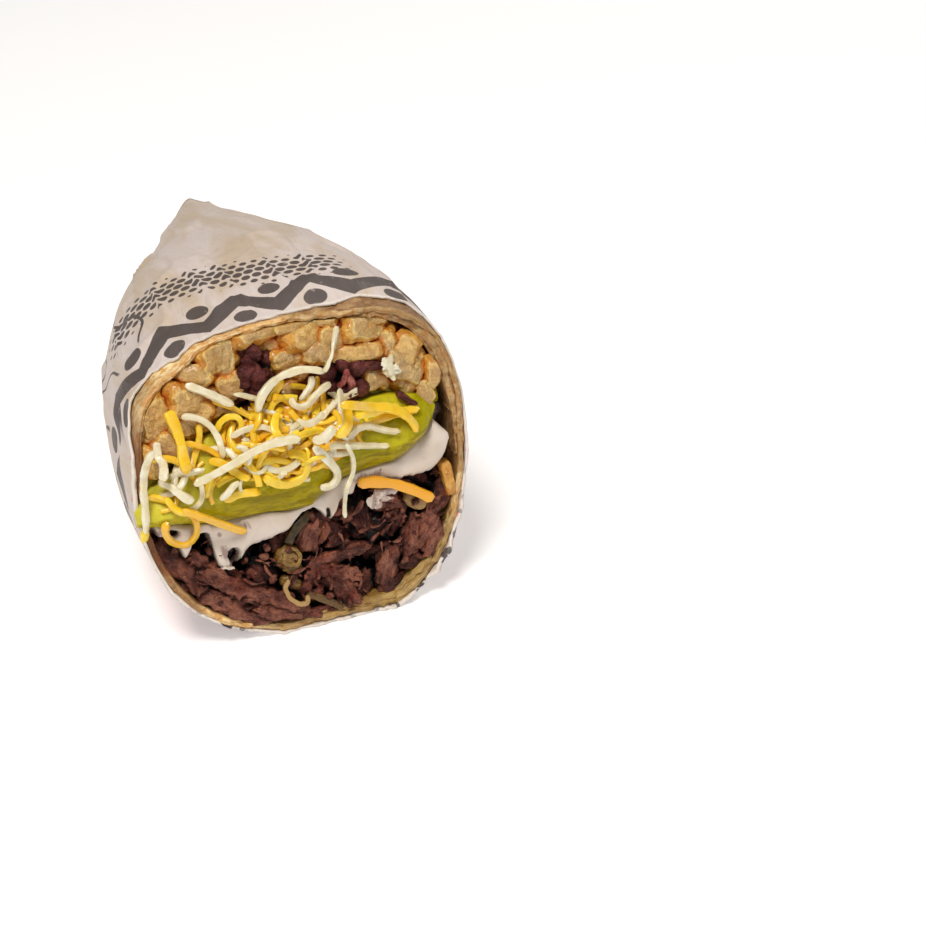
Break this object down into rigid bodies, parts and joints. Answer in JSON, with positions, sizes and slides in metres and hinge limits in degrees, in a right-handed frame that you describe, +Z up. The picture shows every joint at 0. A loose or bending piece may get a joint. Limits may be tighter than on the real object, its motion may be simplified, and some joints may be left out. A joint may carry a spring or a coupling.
{
  "type": "halved burrito in paper wrap",
  "caption": "Half of a large burrito in its oily paper wrap, cut on a slant to show fries, guacamole, sour cream and sliced beef under shredded cheese.",
  "frame": {"origin": "on the table, under the middle of the object's bounding box", "axes": "+Y from the cut towards the folded end, +Z up; the cut faces -Y and leans back by 16.5 degrees"},
  "size_m": [0.0832, 0.126, 0.0747],
  "materials": {
    "paper": "printed greaseproof paper, oil-stained",
    "tortilla": "matte, floury, browned in spots",
    "fries": "fried, slightly oily",
    "beef": "moist, fibrous",
    "guacamole": "moist, glossy paste",
    "sour_cream": "moist, smooth",
    "cheese": "soft, slightly glossy",
    "onion": "cooked, translucent, glossy",
    "pepper": "cooked skin, glossy"
  },
  "bodies": {
    "root": {"paper_wrap": "paper", "tortilla": "tortilla", "fries": "fries", "meat_pocket": "beef", "guacamole": "guacamole", "sour_cream": "sour_cream", "meat": "beef", "shredded_cheese": "cheese", "lone_cheddar_shred": "cheese", "side_fry": "fries", "onion_round": "onion", "onion_loop": "onion", "onion_strip": "onion", "onion_slice": "onion", "pepper_skin": "pepper"}
  },
  "joints": []
}
